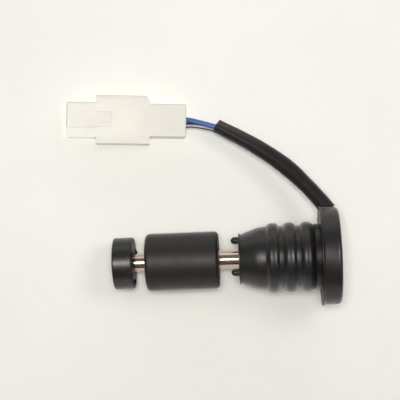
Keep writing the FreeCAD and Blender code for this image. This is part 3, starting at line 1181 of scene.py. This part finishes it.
    def sleeve_faces(self, rings: int) -> list[tuple[int, ...]]:
        """Faces of the sleeve's outside, inside and two rims.

        Args:
            rings: Rings of vertices along the sleeve.

        Returns:
            Vertex numbers of each face.
        """
        inner = rings * self.around
        faces: list[tuple[int, ...]] = []
        for ring in range(rings - 1):
            for a, b in self.ring_edges(ring):
                faces.append((a, b, b + self.around, a + self.around))
                faces.append((inner + b, inner + a, inner + a + self.around, inner + b + self.around))
        for ring in (0, rings - 1):
            for a, b in self.ring_edges(ring):
                rim = (b, a, inner + a, inner + b)
                faces.append(rim if ring == 0 else rim[::-1])
        return faces

    def build_sleeve(self) -> None:
        """Build the sleeve as an open tube with a wall, sunk in along a fold near its cut end."""
        plan = (self.sleeve_start, *self.shared_route, self.sleeve_end)
        line = spline_points([self.part_point(out, 0.0, height) for out, height in plan])
        sleeve = smooth_mesh("sleeve", self.sleeve_places(line), self.sleeve_faces(len(line)))
        dress_new(sleeve, Slot.SLEEVE, "lead_sleeve")

    def build(self, connector: Matrix) -> None:
        """Build the wires and the sleeve.

        Args:
            connector: Place of the connector.
        """
        for wire in self.wires:
            self.build_wire(wire, connector)
        self.build_sleeve()


@dataclass(frozen=True)
class Lamp:
    """Flat lamp that faces the sender."""

    name: str
    role: Role
    direction: Point
    distance: float
    size: tuple[float, float]
    power: float
    tint: Colour = LAMP_TINT

    def build(self, middle: Point, table: bpy.types.Object) -> None:
        """Set the lamp up.

        Args:
            middle: Point that it faces.
            table: The one thing that a lamp for the table lights.
        """
        data = bpy.data.lights.new(self.name, "AREA")
        data.shape = "RECTANGLE"
        data.size, data.size_y = self.size
        data.energy = self.power
        data.color = self.tint
        lamp = add_object(self.name, data)
        lamp.visible_diffuse = self.role is not Role.HIGHLIGHT
        lamp.visible_glossy = self.role in (Role.HIGHLIGHT, Role.PLAIN)
        if self.role is Role.TABLE:
            lit = bpy.data.collections.new(f"{self.name}_lit")
            lit.objects.link(table)
            lamp.light_linking.receiver_collection = lit
        away = Vector(self.direction).normalized()
        lamp.matrix_world = Matrix.Translation(Vector(middle) + self.distance * away) @ stem_turn(away)


@dataclass
class Studio:
    """Table that the sender lies on, the backdrop, the lamps, the world and the camera."""

    camera_place: Point = (-0.02328, -0.40684, -0.02098)
    camera_ahead: Point = (0.0, 0.9982, -0.0593)
    camera_up: Point = (-0.9991, 0.0025, 0.0416)
    field_deg: float = 21.37
    sensor_mm: float = 36.0
    nearest_seen: float = 0.01
    table_place: Point = (0.0, 0.0191, 0.0)
    table_normal: Point = (0.0, -0.9936, 0.1132)
    table_half: float = 1.4
    table_pale: Colour = (0.93, 0.925, 0.885)
    table_warm: Colour = (0.90, 0.89, 0.835)
    lamps: tuple[Lamp, ...] = (
        Lamp(
            "overhead_lamp", Role.SOFT,
            direction=(-0.05, -1.0, 0.03), distance=0.54, size=(0.12, 0.14), power=1.95,
        ),
        Lamp(
            "side_lamp", Role.SOFT,
            direction=(-0.35, -1.0, 0.75), distance=0.60, size=(0.20, 0.20), power=0.6,
        ),
        Lamp(
            "low_fill", Role.PLAIN,
            direction=(1.0, -0.15, 0.0), distance=0.45, size=(0.20, 0.60), power=0.3,
        ),
        Lamp(
            "left_strip", Role.HIGHLIGHT, tint=STRIP_TINT,
            direction=(-0.05, -1.0, -0.21), distance=0.58, size=(0.16, 0.18), power=1.75,
        ),
        Lamp(
            "right_strip", Role.HIGHLIGHT, tint=STRIP_TINT,
            direction=(-0.05, -1.0, 0.68), distance=0.60, size=(0.165, 0.12), power=1.95,
        ),
        Lamp(
            "window", Role.TABLE, tint=DAY_TINT,
            direction=(-1.0, -0.2, 0.0), distance=0.45, size=(0.25, 0.8), power=0.85,
        ),
        Lamp(
            "window_glint", Role.HIGHLIGHT,
            direction=(-1.0, -0.2, 0.0), distance=0.45, size=(0.25, 0.8), power=0.62,
        ),
        Lamp(
            "back_fill", Role.PLAIN,
            direction=(-0.5, 1.0, -0.35), distance=0.55, size=(0.40, 0.40), power=0.35,
        ),
    )
    backdrop_half: float = 3.0
    backdrop_pale: Colour = (0.70, 0.695, 0.67)
    backdrop_warm: Colour = (0.66, 0.65, 0.615)
    world_tint: Colour = (1.0, 0.99, 0.97)
    world_side: Point = (-1.0, -0.1, 0.0)
    world_bright: float = 0.20
    world_dim: float = 0.09
    middle: Point = (-0.025, 0.0, -0.04)

    def build_camera(self) -> None:
        """Set the camera at the photograph's place and angle."""
        data = bpy.data.cameras.new("camera")
        data.sensor_width = self.sensor_mm
        data.sensor_fit = "HORIZONTAL"
        data.lens = self.sensor_mm / (2 * math.tan(math.radians(self.field_deg) / 2))
        data.clip_start = self.nearest_seen
        camera = add_object("camera", data)
        ahead = Vector(self.camera_ahead).normalized()
        right = ahead.cross(Vector(self.camera_up)).normalized()
        turn = axes_turn(right, right.cross(ahead), -ahead)
        camera.matrix_world = Matrix.Translation(self.camera_place) @ turn
        bpy.context.scene.camera = camera

    def table_material(self) -> bpy.types.Material:
        """Pale top in faint clouds, clear from behind.

        Returns:
            The material.
        """
        tree = Tree("table_top")
        tree.set(
            Base_Color=tree.mottled(tree.noise(scale=14.0, detail=3.0), self.table_pale, self.table_warm),
            Roughness=tree.spread(tree.noise(scale=300.0, detail=3.0), low=0.55, high=0.7),
        )
        sides = tree.add("ShaderNodeMixShader")
        tree.feed(sides, 0, tree.add("ShaderNodeNewGeometry").outputs["Backfacing"])
        tree.feed(sides, 1, tree.shader.outputs["BSDF"])
        tree.feed(sides, 2, tree.add("ShaderNodeBsdfTransparent").outputs["BSDF"])
        tree.feed(tree.nodes["Material Output"], "Surface", sides.outputs["Shader"])
        return tree.material

    def build_table(self) -> bpy.types.Object:
        """Build the pale table under the sender, open to view from behind.

        Returns:
            The table.
        """
        half = self.table_half
        ends = ((-half, -half), (half, -half), (half, half), (-half, half))
        table = smooth_mesh("table", [Vector((x, y, 0.0)) for x, y in ends], [(0, 1, 2, 3)])
        normal = Vector(self.table_normal).normalized()
        table.matrix_world = Matrix.Translation(self.table_place) @ stem_turn(normal)
        table.data.materials.append(self.table_material())
        table.visible_shadow = False
        return table

    def build_backdrop(self) -> None:
        """Build pale walls far around the sender, seen by the camera from its sides and back."""
        half = self.backdrop_half
        corners = [Vector((x, y, z)) for x in (-half, half) for y in (-half, half) for z in (-half, half)]
        walls = [(0, 1, 3, 2), (4, 6, 7, 5), (0, 4, 5, 1), (2, 3, 7, 6), (0, 2, 6, 4), (1, 5, 7, 3)]
        backdrop = smooth_mesh("backdrop", corners, walls)
        tree = Tree("backdrop_paper")
        cloud = tree.noise(scale=1.5, detail=3.0)
        tree.set(
            Base_Color=(0.0, 0.0, 0.0),
            Roughness=1.0,
            Emission_Color=tree.mottled(cloud, self.backdrop_pale, self.backdrop_warm),
            Emission_Strength=1.0,
        )
        backdrop.data.materials.append(tree.material)
        for ray in ("diffuse", "glossy", "transmission", "volume_scatter", "shadow"):
            setattr(backdrop, f"visible_{ray}", False)

    def build_world(self) -> None:
        """Set plain grey surroundings, brighter on the lead's side than on the other."""
        world = bpy.data.worlds.new("surroundings")
        world.use_nodes = True
        bpy.context.scene.world = world
        nodes = world.node_tree.nodes
        links = world.node_tree.links
        coordinates = nodes.new("ShaderNodeTexCoord")
        toward = nodes.new("ShaderNodeVectorMath")
        toward.operation = "DOT_PRODUCT"
        toward.inputs[1].default_value = Vector(self.world_side).normalized()
        level = nodes.new("ShaderNodeMapRange")
        level.interpolation_type = "SMOOTHSTEP"
        ends = {"From Min": -1.0, "From Max": 1.0, "To Min": self.world_dim, "To Max": self.world_bright}
        for name, value in ends.items():
            level.inputs[name].default_value = value
        links.new(coordinates.outputs["Generated"], toward.inputs[0])
        links.new(toward.outputs["Value"], level.inputs["Value"])
        links.new(level.outputs["Result"], nodes["Background"].inputs["Strength"])
        nodes["Background"].inputs["Color"].default_value = (*self.world_tint, 1.0)

    def build(self) -> None:
        """Build the studio, with plain colours in the picture."""
        bpy.context.scene.view_settings.view_transform = "Standard"
        self.build_camera()
        table = self.build_table()
        self.build_backdrop()
        for lamp in self.lamps:
            lamp.build(self.middle, table)
        self.build_world()
        log.info("studio built with %d lamps", len(self.lamps))


def main() -> None:
    """Build the studio and every sub-assembly in order."""
    logging.basicConfig(level=logging.INFO, format="%(message)s")
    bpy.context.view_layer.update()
    connector = ConnectorPair()
    Studio().build()
    Lead().build(connector.placement())
    for unit in (SealHead(), Stem(), FloatUnit(), ReedSwitch(), connector):
        unit.dress()


if __name__ == "__main__":
    main()
